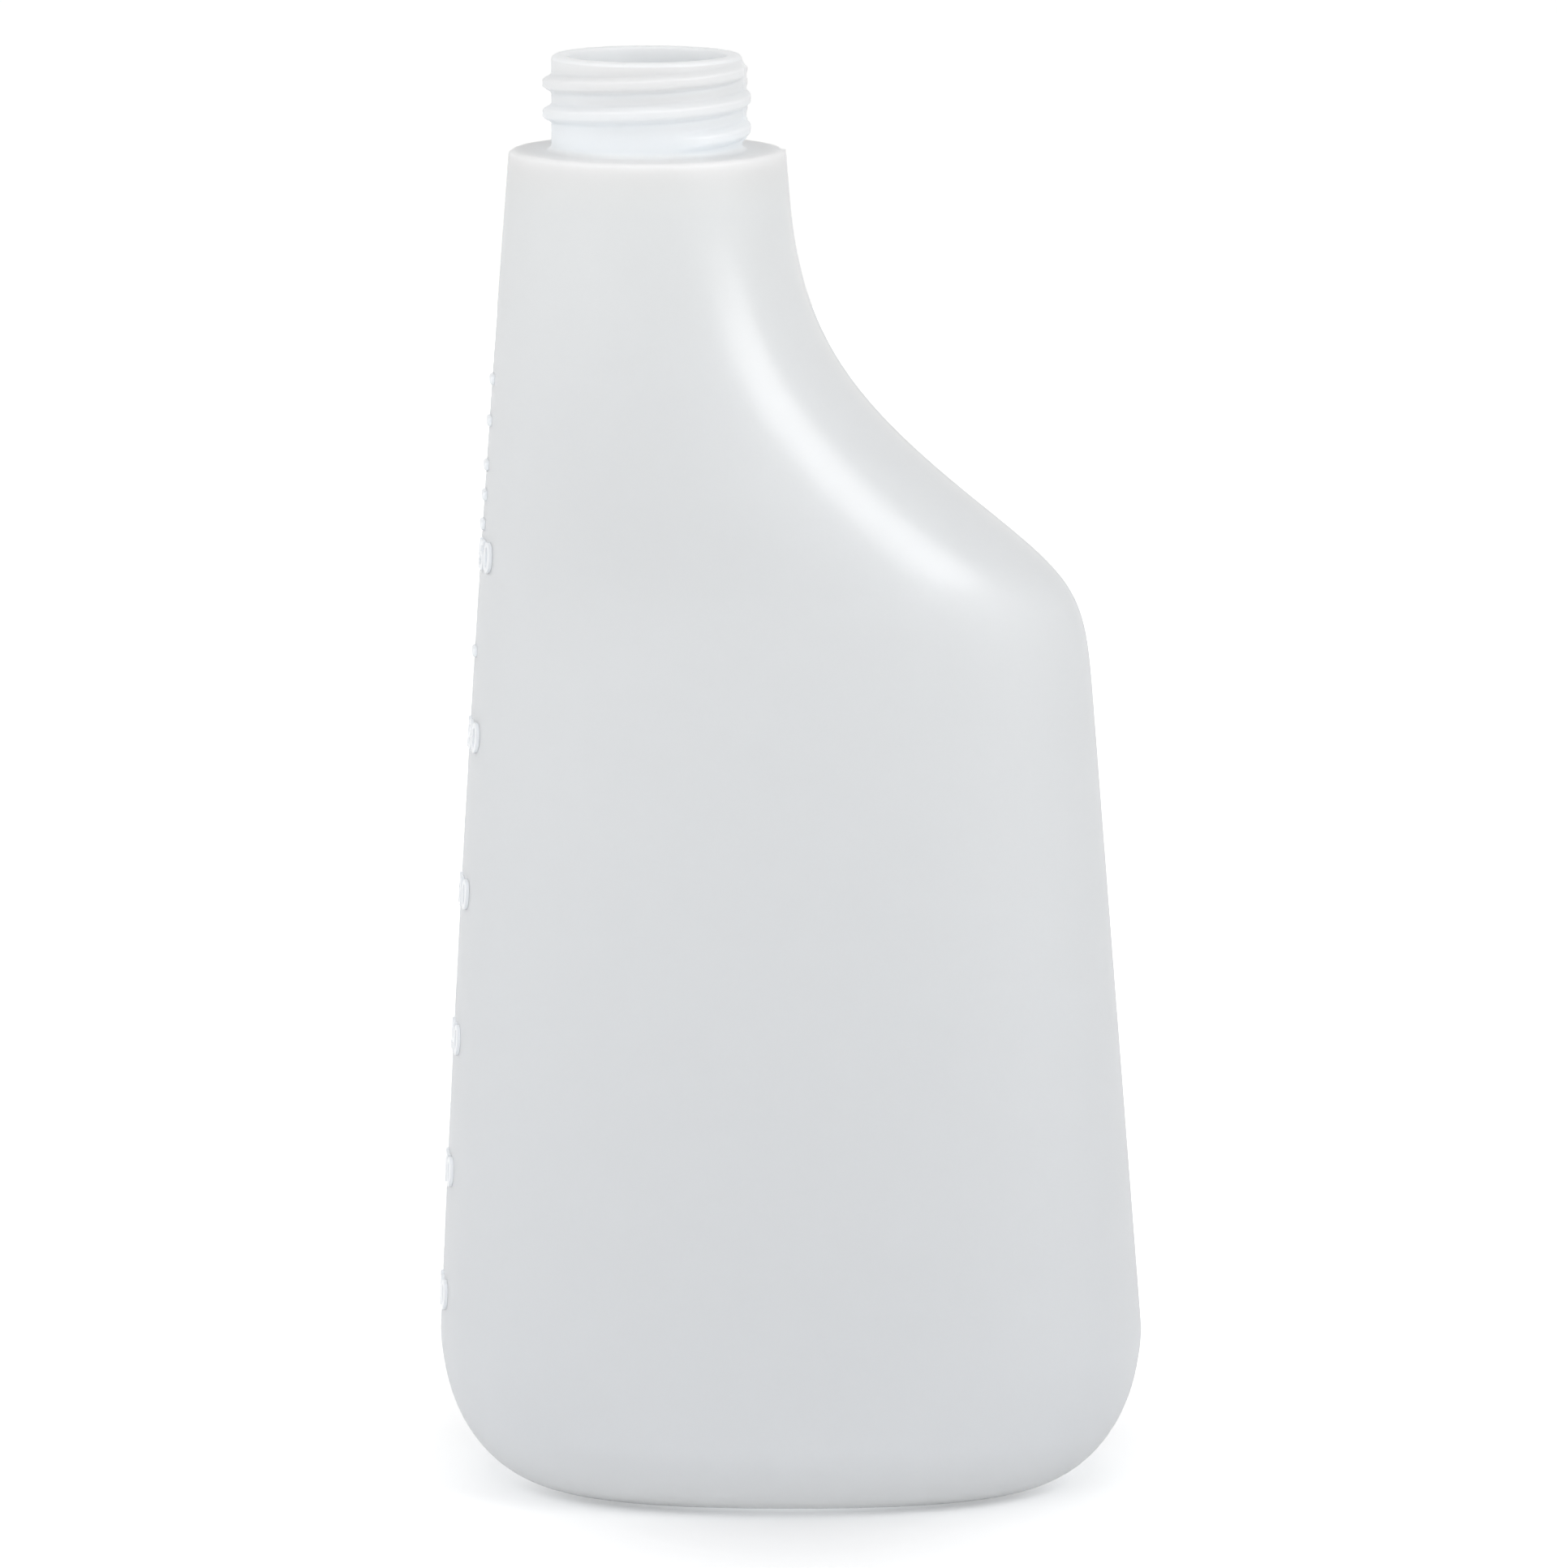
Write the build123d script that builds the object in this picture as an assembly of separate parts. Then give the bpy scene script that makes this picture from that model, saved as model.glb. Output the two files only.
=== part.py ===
from build123d import *
import math
import os

# Blown spray bottle body, in millimetres. +X is the finger grip side, +Z is up, and the origin is the
# middle of the base on the surface that the bottle stands on. The parting plane of the mould is Y = 0.

# Body
body_height = 178.2
body_width = 94.0
body_depth = 62.0
wall = 1.1
side_bulge = 0.7
face_bulge = 0.8

# Base: the body rounds under more on its narrow sides than on its broad faces
side_corner_reach = 14.5
side_corner_rise = 19.2
face_corner_reach = 9.0
face_corner_rise = 10.0
stand_ring_width = 4.5
push_up_depth = 2.2
push_up_slope_width = 5.0

# Shoulder: a flat round shelf, set to the left of the base's middle
shoulder_diameter = 36.0
shoulder_offset = 19.0
shoulder_round = 0.6

# Finger grip on the right: a hollow curve that turns into a hump, as drops below the shoulder
grip_top_drop = 6.2
grip_turn_drop = 47.3
hump_drop = 72.2
flank_lean = 7.1
grip_lean_angle = 51.0
grip_turn_share = 0.632
hollow_handle_shares = (0.395, 0.445)
hump_handle_shares = (0.548, 0.463)

# Neck with an outside screw thread
neck_height = 12.5
neck_wall = 2.05
neck_root_round = 0.8
rim_outer_round = 0.6
rim_inner_round = 0.4
thread_diameter = 27.4
thread_height = 1.15
thread_pitch = 3.96
thread_root_width = 2.6
thread_crest_width = 1.1
thread_start_rise = 2.0
thread_turns = 2.2
thread_start_angle = -75.0
thread_bite = 0.3

# Fullness of the oval section, from a true circle at the shoulder to these shares at the base
circle_share = 4 * (math.sqrt(2) - 1) / 3
face_fullness_share = 0.63
side_fullness_share = 0.77

# Places of the lofted sections along each stretch of the outline
straight_shares = (0.5,)
hollow_shares = (0.0, 0.12, 0.25, 0.4, 0.55, 0.7, 0.85)
hump_shares = (0.0, 0.15, 0.3, 0.45, 0.6, 0.75, 0.9)
flank_shares = (0.05, 0.3, 0.55, 0.8, 0.94)
corner_shares = (0.0, 0.16, 0.32, 0.48, 0.64, 0.8, 0.92, 1.0)

cut_overrun = 1.0

shoulder_radius = shoulder_diameter / 2
neck_radius = thread_diameter / 2 - thread_height
half_width = body_width / 2
half_depth = body_depth / 2


def drawn_in(height, reach, rise, skin):
    """Inset of a wall at a height, a quarter ellipse where it rounds under into the base."""
    height_share = (height - skin) / (rise - skin)
    if height_share >= 1:
        return skin
    return skin + (reach - skin) * (1 - math.sqrt(1 - (1 - max(height_share, 0)) ** 2))


def bowed(height, low_height, low_size, top_size, bulge):
    """Size that runs from low_size to top_size at the shoulder, with a slight outward bow."""
    share = max(0, (height - low_height) / (body_height - low_height))
    return low_size + (top_size - low_size) * share + 4 * bulge * share * (1 - share)


def left_edge(height, skin):
    """X of the straight narrow side."""
    top_size = shoulder_offset + shoulder_radius
    reach = bowed(height, side_corner_rise, half_width, top_size, side_bulge)
    return drawn_in(height, side_corner_reach, side_corner_rise, skin) - reach


def flank_line(height):
    """X of the straight flank under the hump, before it rounds under."""
    hump_share = (height - side_corner_rise) / (body_height - hump_drop - side_corner_rise)
    return half_width - flank_lean * max(hump_share, 0)


def depth_at(height, skin):
    """Half the depth of the section."""
    size = bowed(height, face_corner_rise, half_depth, shoulder_radius, face_bulge)
    return size - drawn_in(height, face_corner_reach, face_corner_rise, skin)


def grip_curves():
    """The grip side from the shoulder to the hump's foot, drawn with X across and height as Y."""
    top = Vector(shoulder_radius - shoulder_offset, body_height)
    foot = Vector(flank_line(body_height - hump_drop), body_height - hump_drop)
    flank_way = (Vector(half_width, side_corner_rise) - foot).normalized()
    start = top + flank_way * (grip_top_drop / -flank_way.Y)
    turn = Vector(start.X + grip_turn_share * (foot.X - start.X), body_height - grip_turn_drop)
    turn_way = Vector(0, -1).rotate(Axis.Z, grip_lean_angle)
    hollow_reach = (turn - start).length
    hump_reach = (foot - turn).length
    hollow = Bezier(
        start,
        start + flank_way * (hollow_handle_shares[0] * hollow_reach),
        turn - turn_way * (hollow_handle_shares[1] * hollow_reach),
        turn,
    )
    hump = Bezier(
        turn,
        turn + turn_way * (hump_handle_shares[0] * hump_reach),
        foot - flank_way * (hump_handle_shares[1] * hump_reach),
        foot,
    )
    return Line(top, start), hollow, hump


def right_places(skin):
    """(X, height) of the grip side, top to bottom, moved inwards by the skin."""
    straight, hollow, hump = grip_curves()
    top = straight @ 0 - Vector(skin, skin)
    places = [(top.X, top.Y)]
    stretches = ((straight, straight_shares), (hollow, hollow_shares), (hump, hump_shares))
    for curve, shares in stretches:
        for share in shares:
            way = curve % share
            place = curve @ share + Vector(way.Y, -way.X) * skin
            places.append((place.X, place.Y))
    flank_top = body_height - hump_drop
    heights = [flank_top + (side_corner_rise - flank_top) * share for share in flank_shares]
    rise = side_corner_rise - skin
    heights += [skin + rise * (1 - math.sin(share * math.pi / 2)) for share in corner_shares]
    for height in heights:
        inset = drawn_in(height, side_corner_reach, side_corner_rise, skin)
        places.append((flank_line(height) - inset, height))
    return places


def oval(left, right, depth, fullness):
    """Closed section through left, right and the two faces, made of four tangent curves."""
    middle = (left + right) / 2
    half = (right - left) / 2
    face = (circle_share + (face_fullness_share - circle_share) * fullness) * half
    side = (circle_share + (side_fullness_share - circle_share) * fullness) * depth
    corners = []
    for end, out in ((right, 1), (left, -1)):
        for front in (1, -1):
            corners.append(
                Bezier(
                    (end, 0),
                    (end, front * side),
                    (middle + out * face, front * depth),
                    (middle, front * depth),
                )
            )
    return make_face(corners)


def body(skin):
    """The solid inside the body's surface, moved inwards by the skin on every side."""
    sections = []
    for right, height in right_places(skin):
        fullness = math.sin((1 - height / body_height) * math.pi / 2)
        section = oval(left_edge(height, skin), right, depth_at(height, skin), fullness)
        sections.append(Pos(0, 0, height) * section)
    return loft(sections)


def push_up(skin):
    """The shallow hollow under the base, which stands up inside as a low mound."""
    half_long = half_width - side_corner_reach - stand_ring_width + skin
    half_short = half_depth - face_corner_reach - stand_ring_width + skin
    slope = push_up_slope_width
    low = oval(-half_long, half_long, half_short, 1)
    high = oval(slope - half_long, half_long - slope, half_short - slope, 1)
    mound = loft([low, Pos(0, 0, push_up_depth) * high])
    return Pos(0, 0, skin) * mound


def neck():
    """Neck tube with a rounded rim, standing on the shelf."""
    tube = extrude(Circle(neck_radius), neck_height)
    rim = tube.edges().filter_by(GeomType.CIRCLE).sort_by(Axis.Z)[-1]
    return Pos(-shoulder_offset, 0, body_height) * fillet(rim, rim_outer_round)


def thread():
    """Raised screw thread round the neck, planed down to the neck at its two ends."""
    root = neck_radius - thread_bite
    crest = thread_diameter / 2
    path = Helix(thread_pitch, thread_pitch * thread_turns, neck_radius)
    half_root = thread_root_width / 2
    half_crest = thread_crest_width / 2
    outline = Polyline(
        (root, -half_root), (crest, -half_crest), (crest, half_crest), (root, half_root), close=True
    )
    profile = Plane.XZ * make_face(outline)
    ridge = sweep(profile, path, is_frenet=True)
    seat = (Align.MIN, Align.CENTER, Align.CENTER)
    planer = Box(crest - root, thread_diameter, thread_root_width, align=seat)
    for turns in (0, thread_turns):
        ridge -= Rot(0, 0, 360 * turns) * Pos(neck_radius, 0, thread_pitch * turns) * planer
    place = Pos(-shoulder_offset, 0, body_height + thread_start_rise) * Rot(0, 0, thread_start_angle)
    return place * ridge


def bottle():
    """The whole bottle: outer form less the hollow, the bore and the hollow under the base."""
    shell = body(0)
    shelf_edges = shell.edges().group_by(Axis.Z)[-1]
    shell = fillet(shelf_edges, shoulder_round)
    shell += neck()
    circles = shell.edges().filter_by(GeomType.CIRCLE)
    root = circles.filter_by(lambda e: abs(e.radius - neck_radius) < rim_outer_round / 2).sort_by(Axis.Z)[0]
    shell = fillet(root, neck_root_round)
    shell += thread()
    shell -= push_up(0)
    shell -= body(wall) - push_up(wall)
    bore_length = neck_height + wall + 2 * cut_overrun
    bore = extrude(Circle(neck_radius - neck_wall), bore_length)
    shell -= Pos(-shoulder_offset, 0, body_height - wall - cut_overrun) * bore
    mouth = shell.edges().filter_by(GeomType.CIRCLE).group_by(Axis.Z)[-1]
    mouth = mouth.sort_by(lambda e: e.radius)[0]
    return fillet(mouth, rim_inner_round)


os.makedirs("parts", exist_ok=True)
result = bottle()
result.label = "bottle"
export_step(result, "parts/bottle.step")
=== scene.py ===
import bisect
import math

import bmesh
import bpy
from bpy.props import (
    FloatProperty,
    FloatVectorProperty,
    IntProperty,
    PointerProperty,
    StringProperty,
)
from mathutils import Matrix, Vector
from mathutils.geometry import interpolate_bezier


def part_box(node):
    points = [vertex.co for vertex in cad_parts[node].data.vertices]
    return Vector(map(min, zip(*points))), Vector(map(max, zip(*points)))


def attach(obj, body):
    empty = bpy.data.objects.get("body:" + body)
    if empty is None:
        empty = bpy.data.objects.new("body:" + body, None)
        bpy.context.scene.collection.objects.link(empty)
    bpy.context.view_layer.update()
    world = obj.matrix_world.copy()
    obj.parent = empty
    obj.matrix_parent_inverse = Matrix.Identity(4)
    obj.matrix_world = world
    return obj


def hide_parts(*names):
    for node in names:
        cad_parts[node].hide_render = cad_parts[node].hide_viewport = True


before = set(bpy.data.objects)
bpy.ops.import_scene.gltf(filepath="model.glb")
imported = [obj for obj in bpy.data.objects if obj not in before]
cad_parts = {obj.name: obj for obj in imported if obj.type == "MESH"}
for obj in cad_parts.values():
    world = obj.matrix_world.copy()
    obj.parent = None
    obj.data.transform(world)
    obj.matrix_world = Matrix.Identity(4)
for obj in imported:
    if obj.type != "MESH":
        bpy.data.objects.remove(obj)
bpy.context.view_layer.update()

bl_info = {
    "name": "Blown Spray Bottle",
    "version": (1, 0, 0),
    "blender": (4, 5, 0),
    "location": "3D View > Sidebar > Bottle",
    "description": "Milky blown bottle with a finger grip, a screw neck and a raised scale",
    "category": "Object",
}

NODE = "bottle"
BODY = "root"
LOWEST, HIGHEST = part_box(NODE)
SHELF_HEIGHT = 0.1782
NECK_HEIGHT = round(HIGHEST[2] - LOWEST[2] - SHELF_HEIGHT, 4)
# Layer of painted light: how far the wall's colour is lifted towards a lighter tint
PAINTED_LIGHT_LAYER = "milk"
CIRCLE_SHARE = 4 * (math.sqrt(2) - 1) / 3

# Parts of a quarter section: the close columns at the parting line, and how far its lines can reach
CLOSE_PARTS = (0, 0.0025, 0.005, 0.008, 0.012, 0.018, 0.028, 0.045)
SEAM_PART = 0.3

# Points along the grip's outline, and how many of them lie between two rows
STRAIGHT_STEPS = 8
CURVE_STEPS = 160
CURVE_ROW_STEP = 5

# Rows of faces
CORNER_ROWS = 26
FLANK_ROWS = 24
ROUNDING_ROWS = 6
RIM_INNER_ROWS = 5
SHELF_ROWS = 5
BORE_ROWS = 12
STAND_RING_ROWS = 4
PUSH_UP_ROWS = 9
PUSH_UP_FLOOR_SIZES = (0.12, 0.3, 0.5, 0.7, 0.85, 1)
INNER_ROW_STEP = 2
INNER_RING_ROWS = 3
MOUND_ROWS = 6
MOUND_TOP_SIZES = (0.7, 0.35)

# Waves in the fin on the neck: their height as a share of the fin's, and their length in pitches
FIN_WAVE = 0.12
FIN_WAVE_PITCHES = 0.43

# Figures before they are laid on the side, in the font's own units
FIGURE_DEPTH = 0.1
FIGURE_BEVEL = 0.02
FIGURE_STEPS = 5

# Edges up to these angles are shaded smooth
SMOOTH_ANGLE = math.radians(50)
MARK_SMOOTH_ANGLE = math.radians(35)
MERGE_DISTANCE = 1e-6

CLOUD_SCALE = 28.0
GRAIN_SCALE = 900.0
GRAIN_DISTANCE = 0.0001
NOISE_DETAIL = 2.0
SENSOR_WIDTH = 36.0

# (size across and up in metres, degrees from the front, degrees over the table, seen in the gloss)
SOFT_BOXES = {
    "key": ((0.65, 0.78), 60, 30, True),
    "fill": ((1.5, 1.2), -60, 25, True),
    "back": ((0.7, 1.0), 180, 12, False),
    "front": ((1.2, 1.0), 0, 30, False),
}
BOX_DISTANCE = 1.2

# (share of the height, roughness): the hollow of the grip came out of the mould glossier
GLOSS_SHARES = ((0.0, 0.55), (0.65, 0.55), (0.678, 0.3), (0.885, 0.3), (0.922, 0.5))


def plain(name, description, default, **limits):
    """A number."""
    return FloatProperty(name=name, description=description, default=default, **limits)


def length(name, description, default):
    """A length in metres."""
    return plain(name, description, default, unit="LENGTH", precision=5)


def angle(name, description, degrees):
    """An angle, given here in degrees."""
    return plain(name, description, math.radians(degrees), subtype="ANGLE")


def share(name, description, default):
    """A share between nothing and all."""
    return plain(name, description, default, min=0, max=1, subtype="FACTOR")


def several(name, description, default, **limits):
    """Several numbers."""
    return FloatVectorProperty(name=name, description=description, default=default, **limits)


def colour(name, description, default):
    """A colour in linear light."""
    return several(name, description, default, min=0, max=1, subtype="COLOR")


def lengths(name, description, default):
    """Several lengths in metres."""
    return several(name, description, default, size=len(default), unit="LENGTH", precision=5)


class BottleBodySizes(bpy.types.PropertyGroup):
    """Sizes of the blown body, up to the shelf that carries the neck."""

    width: length("Width", "Across the base, from side to side", round(HIGHEST[0] - LOWEST[0], 4))
    depth: length("Depth", "From front to back", round(HIGHEST[1] - LOWEST[1], 4))
    height: length("Height", "From the table to the shelf", SHELF_HEIGHT)
    wall: length("Wall", "Thickness of the plastic", 0.0011)
    side_bulge: length("Side bulge", "Outward bow of the straight narrow side", 0.0007)
    face_bulge: length("Face bulge", "Outward bow of the broad faces", 0.0008)
    side_corner_reach: length("Side corner reach", "How far the narrow sides round under", 0.0145)
    side_corner_rise: length("Side corner rise", "Where the narrow sides round under", 0.0192)
    face_corner_reach: length("Face corner reach", "How far the broad faces round under", 0.009)
    face_corner_rise: length("Face corner rise", "Where the broad faces round under", 0.010)
    stand_ring_width: length("Standing ring", "Width of the ring that the bottle stands on", 0.0045)
    push_up_depth: length("Push-up depth", "Depth of the hollow under the base", 0.0022)
    push_up_slope_width: length("Push-up slope", "Width of the slope into the hollow", 0.005)
    shoulder_diameter: length("Shelf diameter", "Across the round shelf", 0.036)
    shoulder_offset: length("Shelf offset", "How far the shelf and neck stand to the left", 0.019)
    shoulder_round: length("Shelf edge", "Rounding of the shelf's edge", 0.0006)
    grip_top_drop: length("Grip start", "Drop from the shelf to the start of the grip", 0.0062)
    grip_turn_drop: length("Grip turn", "Drop from the shelf to the turn into the hump", 0.0473)
    hump_drop: length("Hump foot", "Drop from the shelf to the foot of the hump", 0.0722)
    flank_lean: length("Flank lean", "How far the flank under the hump leans in", 0.0071)
    grip_lean: angle("Grip lean", "Lean of the grip where it turns", 51)
    grip_turn_share: share("Grip turn share", "Share of the grip's reach at the turn", 0.632)
    hollow_start: share("Hollow start", "Handle of the hollow curve at its top", 0.395)
    hollow_end: share("Hollow end", "Handle of the hollow curve at the turn", 0.445)
    hump_start: share("Hump start", "Handle of the hump curve at the turn", 0.548)
    hump_end: share("Hump end", "Handle of the hump curve at its foot", 0.463)
    face_fullness: share("Face fullness", "How flat the broad faces are at the base", 0.63)
    side_fullness: share("Side fullness", "How flat the narrow sides are at the base", 0.77)
    seam_rise: length("Seam rise", "Height of the parting line of the mould", 0.00016)
    seam_reach: length("Seam reach", "Half the width of the parting line", 0.00028)
    # Painted light: a lighter line along the parting line, and a wider band on the grip for the
    # back half lit from behind
    seam_painted_light: share("Seam painted light", "Painted light along the parting line and the grip's band", 0.5)
    grip_seam_rise: length("Grip seam rise", "Height of the parting line on the grip", 0.0003)
    grip_seam_reach: length("Grip seam reach", "Half the parting line's width on the grip", 0.0006)
    grip_painted_light_reach: length("Grip painted light reach", "Half the width of the painted light band on the grip", 0.0035)
    # Painted light: the foot is lightened where its underside is in shade
    foot_painted_light: length("Foot painted light", "Height to which painted light lifts the shaded foot", 0.012)
    # Painted light: the shelf and the wall just under it are lighter, as light falls from above
    shelf_painted_light: length("Shelf painted light", "Drop to which painted light lightens the wall under the shelf", 0.007)
    pinch_rise: length("Pinch rise", "Height of the weld under the base", 0.0004)
    pinch_reach: length("Pinch reach", "Half the width of the weld under the base", 0.0005)
    even_columns: IntProperty(
        name="Columns", description="Even upright lines in a quarter of the skin", default=30, min=8
    )


class BottleNeckSizes(bpy.types.PropertyGroup):
    """Sizes of the neck and its screw thread."""

    height: length("Height", "From the shelf to the rim", NECK_HEIGHT)
    wall: length("Wall", "From the bore to the root of the thread", 0.00205)
    root_round: length("Root rounding", "Rounding where the neck meets the shelf", 0.0008)
    rim_outer_round: length("Rim outside", "Rounding of the rim outside", 0.0006)
    rim_inner_round: length("Rim inside", "Rounding of the rim inside", 0.0004)
    thread_diameter: length("Thread diameter", "Over the crests", 0.0274)
    thread_height: length("Thread height", "From the root to the crest", 0.00115)
    thread_pitch: length("Thread pitch", "Rise in one turn", 0.00396)
    thread_root_width: length("Thread root", "Width at the root", 0.0027)
    thread_crest_width: length("Thread crest", "Width at the crest", 0.0008)
    thread_start_rise: length("Thread start", "Height of the start over the shelf", 0.002)
    thread_turns: plain("Thread turns", "Length of the thread in turns", 2.2)
    thread_start_angle: angle("Thread start angle", "Where it starts, from the grip side", -75)
    thread_fade: share("Thread fade", "Share of a turn over which an end runs out", 0.06)
    # Painted light on the neck: on and under the ridges, at the sides, in the root's corner and
    # down the bore
    thread_painted_light: share("Thread painted light", "Painted light on the thread's ridges", 0.05)
    under_ridge_painted_light: share("Under ridge painted light", "Painted light just under a ridge, against its shade", 0.35)
    under_reach: length("Under reach", "How far that painted light reaches below a ridge", 0.0009)
    bore_painted_light: share("Bore painted light", "Painted light in the bore and on the rim", 0.45)
    side_painted_light: share("Side painted light", "Painted light on the neck's sides at the parting line", 0.25)
    root_painted_light: length("Root painted light", "Height of the painted light in the neck's root corner", 0.001)
    flash_rise: length("Flash rise", "Height of the fin on the grip side's parting line", 0.00065)
    flash_reach: length("Flash reach", "Half the thickness of the fin", 0.00028)
    row_step: length("Row step", "Height of a row of faces on the thread", 0.00015)


class BottleScaleSizes(bpy.types.PropertyGroup):
    """Sizes of the raised scale on the straight narrow side."""

    numbers: StringProperty(
        name="Numbers",
        description="Numbers from the lowest to the highest",
        default="100 170 240 310 380 450",
    )
    number_heights: lengths(
        "Number heights",
        "Heights of the middles of the numbers",
        (0.0252, 0.0420, 0.0600, 0.0797, 0.1008, 0.1249),
    )
    number_width: length("Number width", "Width of three figures", 0.0076)
    number_height: length("Number height", "Height of a figure", 0.0041)
    number_start: length("Number start", "From the parting line to the first figure", 0.0003)
    tick_heights: lengths(
        "Tick heights",
        "Heights of the short marks",
        (0.1117, 0.1287, 0.1326, 0.1366, 0.1425, 0.1480),
    )
    tick_length: length("Tick length", "Length of a short mark", 0.0034)
    tick_height: length("Tick height", "Height of a short mark", 0.0013)
    tick_round: length("Tick rounding", "Rounding of a short mark", 0.0004)
    tick_proud: length("Tick proud", "How far the short marks stand out", 0.0006)
    proud: length("Proud", "How far the numbers stand out", 0.00045)
    sunk: length("Sunk", "How far the marks reach into the wall", 0.0004)


class BottleFinish(bpy.types.PropertyGroup):
    """Colour and surface of the plastic."""

    # Painted light: the lighter colour that the wall is mixed towards
    painted_light_tint: colour("Painted light tint", "Colour that painted light mixes into the wall", (0.925, 0.962, 0.99))
    # Painted light and shade: the wall runs from a darker foot up to a lighter shelf
    top_tint: colour("Top tint", "Colour of the wall at the shelf", (0.856, 0.898, 0.938))
    shaded_foot_tint: colour("Shaded foot tint", "Colour of the wall at the foot, darkened as painted shade", (0.736, 0.763, 0.803))
    neck_tint: colour("Neck tint", "Colour of the neck between the threads", (0.752, 0.755, 0.758))
    mark_tint: colour("Mark tint", "Colour of the raised scale", (0.88, 0.9, 0.92))
    cloud_drift: share("Cloud drift", "How far soft clouds shift the tint", 0.04)
    mark_roughness: share("Mark roughness", "Roughness of the raised scale", 0.3)
    satin_end: length("Satin end", "X where the satin of the straight side ends", -0.028)
    gloss_start: length("Gloss start", "X where the grip's gloss is full", -0.014)
    gleam: share("Gleam", "Strength of the mirrored light, half being that of plain plastic", 0.57)
    grain: share("Grain", "Strength of the mould's fine grain", 0.12)
    ior: plain("IOR", "Refraction of the plastic", 1.54)
    glow_depth: length("Glow depth", "How far light spreads in the plastic", 0.003)


class BottleStageSettings(bpy.types.PropertyGroup):
    """Floor, light and camera."""

    floor_size: length("Floor size", "Side of the floor", 12.0)
    floor_tint: colour("Floor tint", "Colour of the floor", (0.8, 0.8, 0.8))
    far_lift: plain("Far lift", "White for the camera on the floor far away", 0.7)
    near_reach: length("Near reach", "Where the floor starts to turn white, in front", 0.025)
    far_reach: length("Far reach", "Where the floor is all white, in front", 0.105)
    shadow_stretch: plain("Shadow stretch", "How much farther the shadow reaches in front", 1.5)
    # Painted glow on the floor under the foot
    under_foot_glow: plain("Painted glow", "Painted glow on the floor under the foot, which lights the bottle too", 0.32)
    under_foot_glow_reach: length("Glow reach", "How far it reaches past the standing ring", 0.0055)
    sky_strength: plain("Sky strength", "Light of the white surround", 0.36)
    key_power: plain("Key power", "Watts of the soft box at the right", 6.6)
    fill_power: plain("Fill power", "Watts of the soft box at the left", 8.25)
    back_power: plain("Back power", "Watts of the soft box behind", 4.0)
    front_power: plain("Front power", "Watts of the soft box in front", 1.8)
    camera_place: lengths("Camera place", "Where the camera stands", (-0.00169, -1.180, 0.3064))
    camera_target: lengths("Camera target", "What the camera looks at", (-0.00169, 0.0, 0.0934))
    camera_lens: plain("Lens", "Focal length in millimetres", 206.8)


def eased(low, high, value):
    """0 at low, 1 at high, and a smooth turn between them."""
    part = min(max((value - low) / (high - low), 0), 1)
    return part * part * (3 - 2 * part)


def ridge(offset, reach):
    """1 on the line and falling off smoothly within about twice the reach."""
    return math.exp(-((offset / reach) ** 2))


def evenly(first, last, count):
    """Values from after first up to last, in even steps."""
    return [first + (last - first) * (step + 1) / count for step in range(count)]


def between(first, last, part):
    """A section that lies part of the way from one to another."""
    return [a + (b - a) * part for a, b in zip(first, last)]


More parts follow.
